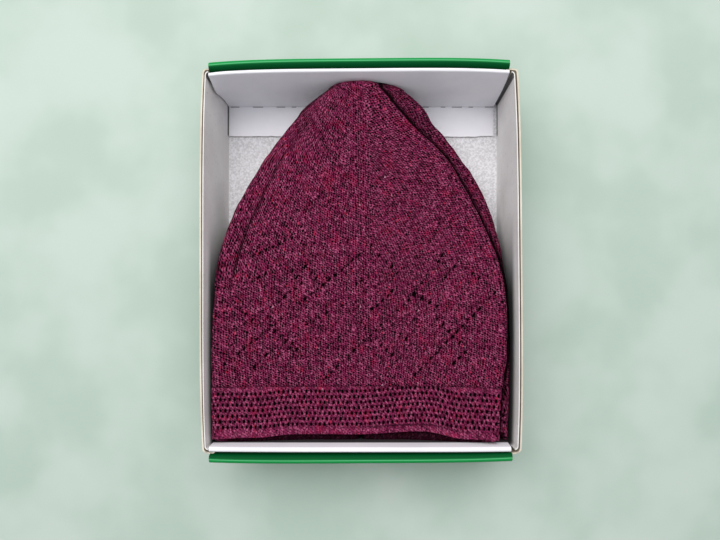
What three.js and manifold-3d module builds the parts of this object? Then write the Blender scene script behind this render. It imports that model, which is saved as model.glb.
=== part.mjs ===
// A knitted conical prayer cap, folded in four and lying in the tray of a shallow
// paperboard box whose lid is nested underneath. Millimetres, +Z up. The origin is at
// the middle of the underside, the cap's hem lies towards -Y and its tip towards +Y.
import * as THREE from 'three';
import { mergeVertices } from 'three/addons/utils/BufferGeometryUtils.js';
import Module from 'manifold-3d';

const wasm = await Module();
wasm.setup();

// ---------- driving dimensions ----------

const CLEARANCE = 0.3;           // between pieces that rest on each other

const LID = { board: 0.6, endWall: 4.2, top: 37.0, corner: 3.3 };
const TRAY = {
  board: 0.7,
  endWall: 1.8,                  // two plies, rolled over at the top
  top: 37.7,
  corner: 3.0,                   // radius of the side boards where they turn the corner
  floorHalfWidth: 71.5,          // inside faces
  rimHalfWidth: 72.3,
  floorHalfLength: 85.8,
  rimHalfLength: 86.8,
  footFlap: 15.5,                // the inner ply of an end wall runs on over the floor
  flapBoard: 0.6,
  flapTrim: 1.6,                 // both stop short of the side boards
  endTrim: 1.0,
};
const SIDE_DROP = 0.5;                     // the end walls are rolled over the side boards
const RIM_BOW = { side: 0.8, end: 1.0 };   // how far a long rim bulges at its middle
const NESTING = 0.35;                      // sideways gap between tray and lid
const TRAY_BASE = LID.board + CLEARANCE;

const CLOTH = 1.6;               // thickness of the knitted wall
const FOLD_RADIUS = 1.6;         // middle of the cloth, where it turns back on itself
const GUSSET_RADIUS = 1.9;
const BAND_TOP = -60;            // where the openwork band meets the crown
const SEAM_GAP = 0.3;
const TIP = new THREE.Vector3(1.4, 86.4, 30.0);
const FOLDS_FADE = [50, 80];     // the gussets open out into a stepped end between these
const LEDGE_SPREAD = 0.45;       // half the turn over which the end steps in, in radians
const OVAL_SQUARENESS = 0.8;     // 1 for a true oval, less for flatter sides
const CROWN_RINGS = 17;
const TIP_RINGS = 5;
const BAND_RINGS = 5;
const BOARD_STEPS = 10;          // stations along each board of the box

// The folded cloth, section by section from hem to tip. The back panel lies on the
// floor and ends in the back folds, each gusset runs in to its own fold and out again,
// and the front panel lies on top between the front folds, with a soft groove beside the
// left one. X of each fold and Z of each layer are taken at the middle of the cloth;
// back, waist and front are the heights of the back folds, the gusset folds and the
// front folds, and lift is how much higher the right folds lie than the left ones.
const COLUMNS = [
  'y', 'backLeft', 'frontLeft', 'groove', 'gussetLeft', 'gussetRight', 'frontRight',
  'backRight', 'lift', 'base', 'back', 'waist', 'front', 'top',
];
const SECTIONS = [
  [-84.0, -70.3, -70.2, -54.0, -6.0, 6.0, 64.6, 70.2, 2.4, 3.4, 25.0, 19.5, 31.2, 27.5],
  [-65.0, -70.9, -70.7, -56.0, -6.0, 6.0, 65.6, 71.1, 2.4, 3.4, 25.0, 19.5, 31.4, 27.3],
  [-44.0, -71.0, -70.5, -58.0, -6.0, 6.0, 68.2, 71.5, 2.4, 2.9, 25.0, 19.5, 31.4, 27.2],
  [-28.0, -70.9, -70.2, -61.5, -6.5, 6.5, 68.6, 71.3, 2.2, 2.9, 24.6, 19.2, 30.9, 27.0],
  [-15.0, -70.6, -69.6, -63.6, -7.5, 7.5, 68.2, 70.8, 1.8, 2.9, 23.4, 18.6, 29.6, 27.0],
  [-2.0, -69.8, -68.9, -61.2, -9.0, 9.0, 66.4, 69.8, 1.2, 2.9, 21.3, 17.8, 27.6, 27.0],
  [12.0, -67.6, -66.3, -57.4, -11.0, 11.0, 62.0, 68.4, 0.6, 2.9, 17.0, 16.9, 24.6, 27.0],
  [28.0, -62.2, -60.5, -51.0, -13.0, 13.0, 55.2, 65.0, 0.0, 2.9, 13.8, 16.5, 22.3, 27.0],
  [46.0, -51.9, -50.2, -41.8, -14.0, 14.0, 45.4, 56.0, 0.0, 3.2, 13.7, 16.7, 22.3, 27.3],
  [53.0, -47.4, -45.8, -37.3, -13.2, 12.7, 40.4, 50.6, 0.0, 3.7, 14.5, 17.7, 22.9, 27.8],
  [60.0, -43.4, -41.9, -32.2, -12.0, 11.0, 34.8, 46.8, 0.0, 5.0, 16.0, 19.2, 24.0, 28.6],
  [66.0, -39.9, -38.5, -27.7, -10.5, 9.4, 29.8, 43.4, 0.0, 7.3, 17.9, 21.0, 25.4, 29.7],
  [72.0, -34.6, -33.4, -22.8, -10.0, 9.0, 24.4, 36.4, 0.0, 10.5, 20.3, 23.3, 27.2, 31.0],
  [79.0, -23.2, -22.2, -16.0, -15.0, 14.8, 16.5, 27.0, 0.0, 16.0, 23.6, 26.9, 30.2, 32.3],
  [83.0, -15.6, -14.8, -10.0, -11.0, 9.5, 11.5, 21.0, 0.0, 20.5, 26.0, 28.5, 31.0, 33.1],
].map((row) => Object.fromEntries(row.map((value, i) => [COLUMNS[i], value])));

// How far each layer's hem lies from the first section: + is towards the tip.
const HEM = { front: 0.4, lift: 1.2, back: -1.7, base: -1.2, gusset: -1.8, tuck: 3.9 };
// The groove begins and fades between these stations; leftOver is what remains of it.
const GROOVE = { depth: 1.4, starts: [-22, -2], fades: [15, 75], leftOver: 0.3 };

// ---------- curves and meshes ----------

// Columns of SECTIONS read at any station, by a smooth curve through the rows.
function sectionAt(y) {
  const last = SECTIONS.length - 1;
  let i = 0;
  while (i < last - 1 && y > SECTIONS[i + 1].y) i++;
  const rows = [Math.max(i - 1, 0), i, i + 1, Math.min(i + 2, last)].map((k) => SECTIONS[k]);
  const span = rows[2].y - rows[1].y;
  const t = (y - rows[1].y) / span;
  const section = {};
  for (const name of COLUMNS) {
    const [before, from, to, after] = rows.map((row) => row[name]);
    const slopeFrom = ((to - before) / (rows[2].y - rows[0].y)) * span;
    const slopeTo = ((after - from) / (rows[3].y - rows[1].y)) * span;
    section[name] = from * (2 * t ** 3 - 3 * t ** 2 + 1) + slopeFrom * (t ** 3 - 2 * t ** 2 + t)
      + to * (3 * t ** 2 - 2 * t ** 3) + slopeTo * (t ** 3 - t ** 2);
  }
  return section;
}

// One closed mesh through rings of equal length; each end closes on a point.
function loft(rings, start, end) {
  const count = rings[0].length;
  const points = [...rings.flat(), start, end];
  const faces = [];
  for (let r = 0; r < rings.length - 1; r++) {
    for (let k = 0; k < count; k++) {
      const a = r * count + k;
      const b = r * count + ((k + 1) % count);
      faces.push(a, b, b + count, a, b + count, a + count);
    }
  }
  const lastRing = (rings.length - 1) * count;
  for (let k = 0; k < count; k++) {
    const next = (k + 1) % count;
    faces.push(next, k, points.length - 2);
    faces.push(lastRing + k, lastRing + next, points.length - 1);
  }
  return closedGeometry(points, faces);
}

// An indexed geometry, turned outside out if its faces came out reversed.
function closedGeometry(points, faces) {
  let volume = 0;
  for (let f = 0; f < faces.length; f += 3) {
    const [a, b, c] = [0, 1, 2].map((k) => points[faces[f + k]]);
    volume += new THREE.Vector3().crossVectors(b, c).dot(a);
  }
  if (volume < 0) faces.reverse();
  const geometry = new THREE.BufferGeometry();
  geometry.setAttribute('position', new THREE.Float32BufferAttribute(
    points.flatMap((p) => p.toArray()), 3));
  geometry.setIndex(faces);
  return geometry;
}

function toSolid(geometry) {
  return new wasm.Manifold(new wasm.Mesh({
    numProp: 3,
    vertProperties: new Float32Array(geometry.attributes.position.array),
    triVerts: new Uint32Array(geometry.index.array),
  }));
}

function fromSolid(solid) {
  const mesh = solid.getMesh();
  const geometry = new THREE.BufferGeometry();
  geometry.setAttribute('position', new THREE.BufferAttribute(mesh.vertProperties, 3));
  geometry.setIndex(new THREE.BufferAttribute(mesh.triVerts, 1));
  return geometry;
}

function finish(name, geometry, colour, roughness) {
  geometry.computeVertexNormals();
  const mesh = new THREE.Mesh(geometry, new THREE.MeshStandardMaterial(
    { color: colour, roughness, metalness: 0 }));
  mesh.name = name;
  return mesh;
}

// ---------- the cap ----------

// How deep the groove beside the left front fold is at one station.
function grooveDepth(y) {
  const fading = 1 - (1 - GROOVE.leftOver) * THREE.MathUtils.smoothstep(y, ...GROOVE.fades);
  return GROOVE.depth * THREE.MathUtils.smoothstep(y, ...GROOVE.starts) * fading;
}

// Right or left half of a section, from the back panel's middle to the front panel's.
// Each point holds X, the distance that the hem is shifted there, and Z.
function halfSection(section, side) {
  const name = side > 0 ? 'Right' : 'Left';
  const back = section[`back${name}`];
  const front = section[`front${name}`];
  const gusset = section[`gusset${name}`];
  const lift = side > 0 ? section.lift : 0;
  const backHeight = section.back + lift;
  const frontHeight = section.front + lift;
  const radius = Math.min(FOLD_RADIUS, (frontHeight - backHeight) / 4);
  const rise = backHeight - section.base;
  const bend = Math.min(8 + 0.5 * rise, 0.6 * Math.abs(back));
  const gussetRadius = Math.min(GUSSET_RADIUS, (frontHeight - backHeight) / 2 - radius);
  const backFold = backHeight + radius;
  const frontFold = frontHeight - radius;
  const low = section.waist - gussetRadius;
  const high = section.waist + gussetRadius;
  const tuck = side > 0 ? HEM.tuck : 0;
  const hemLift = side > 0 ? HEM.lift : 0;
  const groove = side > 0 ? 0.84 * front : section.groove;
  const sunk = side > 0 ? 0 : grooveDepth(section.y);
  const mix = THREE.MathUtils.lerp;
  const point = (x, hem, z) => new THREE.Vector3(x, hem, z);
  const layer = (from, to, z0, z1, hem) => [0.18, 0.42, 0.7].map((t) =>
    point(mix(from, to, t), hem, mix(z0, z1, THREE.MathUtils.smootherstep(t, -0.1, 0.75))));
  const onTop = (x, hem, z = 0) => point(x, hem, z + mix(
    section.top, frontHeight + radius, Math.abs(x / (front - side * radius)) ** 3));
  return [
    point(0.45 * back, HEM.base, section.base),
    point(back - side * bend, HEM.base, section.base + 0.02 * rise),
    point(back - side * bend * 0.35, HEM.base, section.base + 0.24 * rise),
    point(back - side * bend * 0.06, HEM.back, section.base + 0.66 * rise),
    point(back, HEM.back, backHeight),
    point(back - side * radius, HEM.gusset + tuck, backFold),
    ...layer(back - side * radius, gusset, backFold, low, HEM.gusset),
    point(gusset + side * gussetRadius, HEM.gusset, low),
    point(gusset, HEM.gusset, section.waist),
    point(gusset + side * gussetRadius, HEM.gusset, high),
    ...layer(front - side * radius, gusset, frontFold, high, HEM.gusset).reverse(),
    point(front - side * radius, HEM.gusset, frontFold),
    point(front, (HEM.gusset + HEM.front) / 2, frontHeight),
    onTop(front - side * radius, HEM.front),
    onTop((front + groove) / 2, HEM.front),
    onTop(groove, HEM.front, -sunk),
    onTop(0.86 * groove, HEM.front),
    onTop(0.5 * front, HEM.front + hemLift),
  ];
}

// How far round from the back's middle to the front's each point of a half section goes:
// mostly its length along the cloth, and in part an even spread so that none come together.
function sharesRound(points, section) {
  const path = [{ x: 0, z: section.base }, ...points, { x: 0, z: section.top }];
  const lengths = [0];
  for (let i = 1; i < path.length; i++) {
    lengths.push(lengths[i - 1] + Math.hypot(path[i].x - path[i - 1].x, path[i].z - path[i - 1].z));
  }
  const last = path.length - 1;
  return points.map((_, i) => THREE.MathUtils.lerp(
    (i + 1) / last, lengths[i + 1] / lengths[last], 0.75));
}

// Points at such shares of an oval that steps in from the width of the back panel to
// that of the front one.
function halfOval(section, side, shares) {
  const name = side > 0 ? 'Right' : 'Left';
  const middle = (section.base + section.top) / 2;
  const halfHeight = (section.top - section.base) / 2;
  const ledge = Math.asin((section.waist - middle) / halfHeight);
  return shares.map((share) => {
    const angle = Math.PI * (share - 0.5);
    const step = THREE.MathUtils.smoothstep(angle, ledge - LEDGE_SPREAD, ledge + LEDGE_SPREAD);
    const halfWidth = THREE.MathUtils.lerp(section[`back${name}`], section[`front${name}`], step);
    const across = Math.cos(angle) ** OVAL_SQUARENESS;
    return new THREE.Vector3(halfWidth * across, 0, middle + halfHeight * Math.sin(angle));
  });
}

// The middle of the cloth at one station, as a closed ring of points. Past the last
// section the ring shrinks on to the tip, as a dome does.
function clothRing(y) {
  const shoulder = SECTIONS[SECTIONS.length - 1].y;
  const section = sectionAt(Math.min(y, shoulder));
  const melt = THREE.MathUtils.smoothstep(y, ...FOLDS_FADE);
  const [right, left] = [1, -1].map((side) => {
    const folded = halfSection(section, side);
    const oval = halfOval(section, side, sharesRound(folded, section));
    return folded.map((p, i) => p.lerp(oval[i], melt));
  });
  const keys = [
    new THREE.Vector3(0, HEM.base, section.base), ...right,
    new THREE.Vector3(0, HEM.front, section.top), ...left.reverse(),
  ];
  const curve = new THREE.CatmullRomCurve3(keys, true, 'centripetal');
  const hemShift = 1 - THREE.MathUtils.smoothstep(y, SECTIONS[0].y, BAND_TOP);
  const shrink = Math.sqrt(1 - (Math.max(y - shoulder, 0) / (TIP.y - shoulder)) ** 2);
  const ring = [];
  for (let k = 0; k < keys.length * 2; k++) {
    const p = curve.getPoint(k / (keys.length * 2));
    ring.push(new THREE.Vector3(
      THREE.MathUtils.lerp(TIP.x, p.x, shrink),
      y + p.y * hemShift,
      THREE.MathUtils.lerp(TIP.z, p.z, shrink)));
  }
  return ring;
}

// Directions out of the cloth, from the rings on both sides of each one.
function clothNormals(rings) {
  const count = rings[0].length;
  return rings.map((ring, r) => ring.map((_, k) => {
    const around = ring[(k + 2) % count].clone().sub(ring[(k + count - 2) % count]);
    const nextRing = rings[Math.min(r + 1, rings.length - 1)];
    const along = nextRing[k].clone().sub(rings[Math.max(r - 1, 0)][k]);
    return along.cross(around).normalize();
  }));
}

// Wall of cloth between two stations: both faces, and the raw edges that join them.
function clothWall(stations, closedAt) {
  const middle = stations.map(clothRing);
  const normals = clothNormals(middle);
  const face = (offset) => middle.map((ring, r) => ring.map((p, k) =>
    p.clone().addScaledVector(normals[r][k], offset)));
  const outer = face(CLOTH / 2);
  const inner = face(-CLOTH / 2).reverse();
  const count = middle[0].length;
  const rings = [...outer, ...inner];
  const points = rings.flat();
  const faces = [];
  const join = (from, to) => {
    for (let k = 0; k < count; k++) {
      const next = (k + 1) % count;
      faces.push(from * count + k, from * count + next, to * count + next);
      faces.push(from * count + k, to * count + next, to * count + k);
    }
  };
  for (let r = 0; r < rings.length - 1; r++) {
    if (r !== outer.length - 1 || !closedAt) join(r, r + 1);
  }
  join(rings.length - 1, 0);
  if (closedAt) {
    const tips = [CLOTH / 2, -CLOTH / 2].map((offset) =>
      closedAt.clone().add(new THREE.Vector3(0, offset, 0)));
    points.push(...tips);
    for (let k = 0; k < count; k++) {
      const next = (k + 1) % count;
      const outerRing = (outer.length - 1) * count;
      const innerRing = outer.length * count;
      faces.push(outerRing + k, outerRing + next, points.length - 2);
      faces.push(innerRing + next, innerRing + k, points.length - 1);
    }
  }
  return closedGeometry(points, faces);
}

function makeCrown() {
  const start = BAND_TOP + SEAM_GAP;
  const shoulder = SECTIONS[SECTIONS.length - 1].y;
  const growth = 1.11;           // each ring lies further from the last, towards the hem
  const reach = (r) => (growth ** (CROWN_RINGS - r) - 1) / (growth ** CROWN_RINGS - 1);
  const stations = [];
  for (let r = 0; r < CROWN_RINGS; r++) {
    stations.push(shoulder - (shoulder - start) * reach(r));
  }
  for (let r = 0; r < TIP_RINGS; r++) {
    const angle = (r / TIP_RINGS) * (Math.PI / 2);
    stations.push(shoulder + (TIP.y - shoulder) * Math.sin(angle));
  }
  return clothWall(stations, TIP);
}

function makeBand() {
  const stations = [];
  for (let r = 0; r < BAND_RINGS; r++) {
    stations.push(THREE.MathUtils.lerp(SECTIONS[0].y, BAND_TOP, r / (BAND_RINGS - 1)));
  }
  return clothWall(stations, null);
}

// ---------- the box ----------

// Share of the rim's bulge at a place from -1 to 1 along it.
const bulge = (place) => 1 - Math.min(Math.abs(place), 1) ** 4;

// A side board: straight along the side, turned round both corners and tucked into the
// end walls. `shape` gives inside half width and length at the floor and at the rim.
function sideBoard(shape, side) {
  const level = (halfWidth, halfLength, bow) => {
    const inside = [];
    const straight = halfLength + shape.tuck - shape.corner;
    for (let i = 0; i <= BOARD_STEPS; i++) {
      const y = straight * (2 * i / BOARD_STEPS - 1);
      inside.push(new THREE.Vector2(halfWidth + bow * bulge(y / straight), y));
    }
    const corner = (end) => {
      const points = [];
      for (const turn of [22.5, 45, 67.5, 90]) {
        const angle = THREE.MathUtils.degToRad(turn);
        points.push(new THREE.Vector2(
          halfWidth - shape.corner * (1 - Math.cos(angle)),
          end * (straight + shape.corner * Math.sin(angle))));
      }
      points.push(new THREE.Vector2(
        halfWidth - shape.corner - shape.tab, end * (straight + shape.corner)));
      return points;
    };
    return [...corner(-1).reverse(), ...inside, ...corner(1)];
  };
  const floor = level(shape.floorHalfWidth, shape.floorHalfLength, 0);
  const rim = level(shape.rimHalfWidth, shape.rimHalfLength, RIM_BOW.side);
  const outward = (path, i) => {
    const run = path[Math.min(i + 1, path.length - 1)].clone().sub(path[Math.max(i - 1, 0)]);
    return new THREE.Vector2(run.y, -run.x).normalize().multiplyScalar(shape.board);
  };
  const foot = shape.base + shape.board / 2;
  const top = shape.top - SIDE_DROP;
  const rings = floor.map((low, i) => {
    const high = rim[i];
    const lowOut = low.clone().add(outward(floor, i));
    const highOut = high.clone().add(outward(rim, i));
    return [[low, foot], [lowOut, foot], [highOut, top], [high, top],
      [low, shape.base + shape.board]].map(([p, z]) => new THREE.Vector3(side * p.x, p.y, z));
  });
  const centre = (ring) => ring.reduce(
    (sum, p) => sum.addScaledVector(p, 1 / ring.length), new THREE.Vector3());
  return toSolid(loft(rings, centre(rings[0]), centre(rings[rings.length - 1])));
}

// An end wall: two plies folded over a rounded top, a little shorter than the tray is
// wide, and bulging along its rim.
function endWall(shape, end) {
  const foot = shape.base + shape.board / 2;
  const rings = [];
  for (let i = 0; i <= BOARD_STEPS; i++) {
    const place = 2 * i / BOARD_STEPS - 1;
    const floorX = place * (shape.floorHalfWidth - shape.endTrim);
    const rimX = place * (shape.rimHalfWidth - shape.endTrim);
    const rimY = shape.rimHalfLength + RIM_BOW.end * bulge(place);
    const round = shape.endWall / 2;
    const ring = [
      new THREE.Vector3(floorX, end * shape.floorHalfLength,
        shape.base + shape.board + (shape.flapBoard ?? 0)),
      new THREE.Vector3(floorX, end * shape.floorHalfLength, foot),
      new THREE.Vector3(floorX, end * (shape.floorHalfLength + shape.endWall), foot),
    ];
    for (const turn of [0, 45, 90, 135, 180]) {
      const angle = THREE.MathUtils.degToRad(turn);
      ring.push(new THREE.Vector3(
        rimX,
        end * (rimY + round + round * Math.cos(angle)),
        shape.top - round + round * Math.sin(angle)));
    }
    rings.push(ring);
  }
  const core = (ring) => new THREE.Vector3(
    ring[0].x, (ring[1].y + ring[2].y) / 2, (foot + shape.top) / 2);
  return toSolid(loft(rings, core(rings[0]), core(rings[BOARD_STEPS])));
}

// A flat piece of board with rounded corners, from z0 up to z1.
function plate(halfWidth, y0, y1, corner, z0, z1) {
  const outline = new THREE.Shape();
  const quarter = Math.PI / 2;
  outline.absarc(halfWidth - corner, y0 + corner, corner, -quarter, 0);
  outline.absarc(halfWidth - corner, y1 - corner, corner, 0, quarter);
  outline.absarc(corner - halfWidth, y1 - corner, corner, quarter, 2 * quarter);
  outline.absarc(corner - halfWidth, y0 + corner, corner, 2 * quarter, 3 * quarter);
  const slab = new THREE.ExtrudeGeometry(outline,
    { depth: z1 - z0, bevelEnabled: false, curveSegments: 4 });
  slab.translate(0, 0, z0);
  return toSolid(weld(slab));
}

// Shared corners merged, and only positions kept, so that the boolean code accepts it.
function weld(geometry) {
  geometry.deleteAttribute('normal');
  geometry.deleteAttribute('uv');
  return mergeVertices(geometry);
}

// Floor, two side boards and two end walls, cut and folded from one sheet.
function makeBox(shape) {
  const half = shape.floorHalfLength + shape.tuck + shape.board / 2;
  let box = plate(shape.floorHalfWidth + shape.board / 2, -half, half,
    shape.corner + shape.board / 2, shape.base, shape.base + shape.board);
  for (const sign of [-1, 1]) {
    box = box.add(sideBoard(shape, sign)).add(endWall(shape, sign));
    if (!shape.footFlap) continue;
    const foot = [sign * (shape.floorHalfLength - shape.footFlap),
      sign * (shape.floorHalfLength + shape.endWall / 2)].sort((a, b) => a - b);
    box = box.add(plate(shape.floorHalfWidth - shape.flapTrim, foot[0], foot[1], 0.5,
      shape.base + 0.6 * shape.board, shape.base + shape.board + shape.flapBoard));
  }
  return fromSolid(box);
}

function trayShape() {
  return { ...TRAY, base: TRAY_BASE, tuck: TRAY.endWall / 2 - TRAY.board / 2, tab: 3 };
}

// The lid stands round the tray: its inside faces follow the tray's outside ones.
function lidShape() {
  const side = TRAY.board + NESTING;
  const end = TRAY.endWall + NESTING;
  return {
    ...LID,
    base: 0,
    floorHalfWidth: TRAY.floorHalfWidth + side,
    rimHalfWidth: TRAY.rimHalfWidth + side,
    floorHalfLength: TRAY.floorHalfLength + end,
    rimHalfLength: TRAY.rimHalfLength + end,
    endTrim: 3.2,
    tuck: LID.endWall / 2 - LID.board / 2,
    tab: 3,
  };
}

// ---------- the assembly ----------

const cap = new THREE.Group();
cap.add(finish('cap_crown', makeCrown(), 0x61243d, 0.95));
cap.add(finish('cap_band', makeBand(), 0x591e35, 0.95));

const box = new THREE.Group();
box.add(finish('box_tray', makeBox(trayShape()), 0xd8d7dc, 0.8));
box.add(finish('box_lid', makeBox(lidShape()), 0x116a3a, 0.35));

const assembly = new THREE.Group();
assembly.add(cap, box);
export default assembly;
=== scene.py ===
import math

import bpy
import numpy as np
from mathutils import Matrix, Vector


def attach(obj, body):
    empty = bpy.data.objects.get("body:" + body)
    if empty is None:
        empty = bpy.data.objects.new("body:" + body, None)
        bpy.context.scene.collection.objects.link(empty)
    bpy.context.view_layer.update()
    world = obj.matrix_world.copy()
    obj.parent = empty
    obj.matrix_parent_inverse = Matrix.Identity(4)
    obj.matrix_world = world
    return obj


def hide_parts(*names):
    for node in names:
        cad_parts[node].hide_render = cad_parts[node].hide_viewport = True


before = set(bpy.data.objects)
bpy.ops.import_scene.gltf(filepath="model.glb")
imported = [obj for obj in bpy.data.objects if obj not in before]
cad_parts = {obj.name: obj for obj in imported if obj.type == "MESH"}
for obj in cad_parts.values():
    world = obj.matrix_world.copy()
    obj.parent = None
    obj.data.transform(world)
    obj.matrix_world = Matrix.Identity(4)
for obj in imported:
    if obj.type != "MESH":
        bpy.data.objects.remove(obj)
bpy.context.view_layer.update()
MM = 0.001


def add_object(name, data):
    made = bpy.data.objects.new(name, data)
    bpy.context.scene.collection.objects.link(made)
    return made


# ---------------------------------------------------------------------------
# The view: straight down on the open box from 25 cm above its rim, a little
# nearer to the hem than to the tip.
# ---------------------------------------------------------------------------
camera_data = bpy.data.cameras.new("view_from_above")
camera_data.lens = 26.8
camera_data.sensor_width = 36.0
camera_data.shift_x = -0.025
camera_data.shift_y = 0.0625
camera = add_object("view_from_above", camera_data)
camera.location = (8.0 * MM, -25.4 * MM, 287.6 * MM)
bpy.context.scene.camera = camera
bpy.context.scene.view_settings.view_transform = "Standard"

# ---------------------------------------------------------------------------
# The table: a plain pale top with a breath of green, lit by one big soft
# window beyond the tip of the cap and by the light of the room.
# ---------------------------------------------------------------------------


def paint(code):
    """A colour from its six-figure paint code, as the shaders want it."""
    parts = [int(code[i:i + 2], 16) / 255 for i in (0, 2, 4)]
    return [p / 12.92 if p <= 0.04045 else ((p + 0.055) / 1.055) ** 2.4 for p in parts] + [1.0]


class Recipe:
    """One material, mixed node by node. Most steps return the socket to use next."""

    def __init__(self, name, roughness, specular=0.5, coat=0.0):
        self.material = bpy.data.materials.new(name)
        self.material.use_nodes = True
        self.tree = self.material.node_tree
        self.surface = self.tree.nodes["Principled BSDF"]
        self.surface.inputs["Roughness"].default_value = roughness
        self.surface.inputs["Specular IOR Level"].default_value = specular
        self.surface.inputs["Coat Weight"].default_value = coat

    def node(self, kind, inputs=None, **settings):
        made = self.tree.nodes.new("ShaderNode" + kind)
        for name, value in settings.items():
            setattr(made, name, value)
        for name, value in (inputs or {}).items():
            self.feed(made.inputs[name], value)
        return made

    def feed(self, socket, value):
        """Give a socket a number, a paint code or what another socket holds."""
        if isinstance(value, bpy.types.NodeSocket):
            self.tree.links.new(value, socket)
        else:
            socket.default_value = paint(value) if isinstance(value, str) else value

    def math(self, operation, *values):
        made = self.node("Math", operation=operation)
        for socket, value in zip(made.inputs, values):
            self.feed(socket, value)
        return made.outputs[0]

    def times(self, first, second):
        return self.math("MULTIPLY", first, second)

    def between(self, value, low, high, to_low=0.0, to_high=1.0):
        made = self.node("MapRange", interpolation_type="SMOOTHSTEP")
        for socket, entry in zip(made.inputs, (value, low, high, to_low, to_high)):
            self.feed(socket, entry)
        return made.outputs[0]

    def mix(self, share, first, second):
        made = self.node("Mix", {"Factor": share, "A": first, "B": second}, data_type="RGBA")
        return next(s for s in made.outputs if s.type == "RGBA" and s.enabled)

    def noise(self, place, scale, detail=2.0, rough=0.5):
        values = {"Vector": place, "Scale": scale, "Detail": detail, "Roughness": rough}
        return self.node("TexNoise", values).outputs["Fac"]

    def object_place(self):
        return self.node("TexCoord").outputs["Object"]

    def split(self, place):
        return self.node("SeparateXYZ", {0: place}).outputs

    def stretch(self, place, x, y, z):
        return self.node("Mapping", {"Vector": place, "Scale": (x, y, z)}).outputs[0]

    def colour(self, value):
        self.feed(self.surface.inputs["Base Color"], value)

    def cover(self, share, code):
        """Lay a colour over what the surface has so far."""
        so_far = self.surface.inputs["Base Color"].links[0].from_socket
        self.colour(self.mix(share, so_far, code))

    def relief(self, height, depth):
        made = self.node("Bump", {"Distance": depth, "Height": height})
        self.feed(self.surface.inputs["Normal"], made.outputs[0])


top = Recipe("pale_table", 0.55)
mottle = top.between(top.noise(top.object_place(), 16.0, 3.0), 0.36, 0.64)
top.colour(top.mix(mottle, "abbdb1", "bac8bf"))
table_size = 2.4               # metres
bpy.ops.mesh.primitive_plane_add(size=table_size, location=(0, 0, -0.2 * MM))
table = bpy.context.active_object
table.name = "table"
table.data.materials.append(top.material)

world = bpy.data.worlds.new("room")
world.use_nodes = True
room_light = world.node_tree.nodes["Background"]
room_light.inputs["Color"].default_value = (0.93, 0.96, 1.0, 1.0)
room_light.inputs["Strength"].default_value = 0.42
bpy.context.scene.world = world


def soft_light(name, place, size, power, colour):
    data = bpy.data.lights.new(name, "AREA")
    data.shape = "RECTANGLE"
    data.size, data.size_y = size
    data.energy = power
    data.color = colour
    light = add_object(name, data)
    light.location = place
    light.rotation_euler = (-Vector(place)).to_track_quat("-Z", "Y").to_euler()


soft_light("window", (-0.15, 0.5, 0.9), (2.0, 0.8), 14.0, (1.0, 0.985, 0.96))
soft_light("ceiling", (0.05, -0.12, 1.1), (1.0, 1.0), 2.6, (0.98, 0.99, 1.0))

# ---------------------------------------------------------------------------
# The lid: thin board printed deep green and varnished outside, bare and tan
# inside. It is cut and folded from one sheet. Its end walls are hollow, rolled
# over at the top, and the ends of the side boards curl round into them.
# ---------------------------------------------------------------------------


def normals_between(along, across):
    """Directions out of a surface, from the steps along it and across it."""
    normals = np.cross(along, across)
    return normals / np.maximum(np.linalg.norm(normals, axis=2, keepdims=True), 1e-12)


def board(name, middle, thickness, recipes, slot, node):
    """A sheet of board of even thickness along a grid, in one piece with its cut edges."""
    rows, columns = middle.shape[:2]
    offset = normals_between(*np.gradient(middle, axis=(0, 1))) * thickness / 2
    points = np.concatenate([(middle + offset).reshape(-1, 3), (middle - offset).reshape(-1, 3)])
    count = rows * columns
    index = np.arange(count).reshape(rows, columns)
    quads = np.stack([index[:-1, :-1], index[1:, :-1], index[1:, 1:], index[:-1, 1:]], axis=-1)
    outer = quads.reshape(-1, 4)
    inner = outer[:, ::-1] + count
    rim = np.concatenate([index[:, 0], index[-1, 1:], index[-2::-1, -1], index[0, -2:0:-1]])
    following = np.roll(rim, -1)
    edge = np.stack([rim, rim + count, following + count, following], axis=-1)
    mesh = bpy.data.meshes.new(name)
    mesh.from_pydata(points.tolist(), [], np.concatenate([outer, inner, edge]).tolist())
    kinds = np.repeat([0, 1, 2], [len(outer), len(inner), len(edge)])
    mesh.polygons.foreach_set("material_index", kinds.astype(np.int32))
    mesh.polygons.foreach_set("use_smooth", np.ones(len(kinds), bool))
    mesh.set_sharp_from_angle(angle=math.radians(50))
    u, v = np.meshgrid(np.linspace(0, 1, columns), np.linspace(0, 1, rows))
    flat = np.stack([u, v], axis=-1).reshape(-1, 2)
    places = []
    for face, kind in zip(mesh.polygons, kinds):
        for turn, vertex in enumerate(face.vertices):
            place = flat[vertex % count]
            if kind < 2:
                places += [0.01 + kind * 0.49 + place[0] * 0.46, 0.06 + place[1] * 0.93]
            else:
                run = (face.index - len(outer) - len(inner)) / len(edge)
                places += [0.01 + 0.97 * run + (0.97 / len(edge) if turn > 1 else 0),
                           0.04 if turn in (1, 2) else 0.01]
    mesh.uv_layers.new(name="OFBake").data.foreach_set("uv", places)
    for recipe in recipes:
        mesh.materials.append(recipe.material)
    mesh.validate()
    piece = add_object(name, mesh)
    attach(piece, "root")
    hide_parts(node)
    return piece


def board_recipe(name, light, dark, speck, roughness, specular=0.5, coat=0.0, grain=60.0):
    """Paper pulp: cloudiness of one grain, fine fibre and small specks."""
    pulp = Recipe(name, roughness, specular, coat)
    place = pulp.object_place()
    cloud = pulp.noise(place, grain, 3.0)
    fibre = pulp.noise(pulp.stretch(place, 520.0, 520.0, 520.0), 1.0, 4.0, 0.75)
    pulp.colour(pulp.mix(pulp.between(cloud, 0.3, 0.7), light, dark))
    pulp.cover(pulp.times(pulp.between(fibre, 0.56, 0.74), speck), "6f6a66")
    pulp.relief(fibre, 0.04 * MM)
    return pulp


green_print = board_recipe("green_print", "0b6a36", "09602f", 0.0, 0.42, specular=0.15, coat=0.12)

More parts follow.
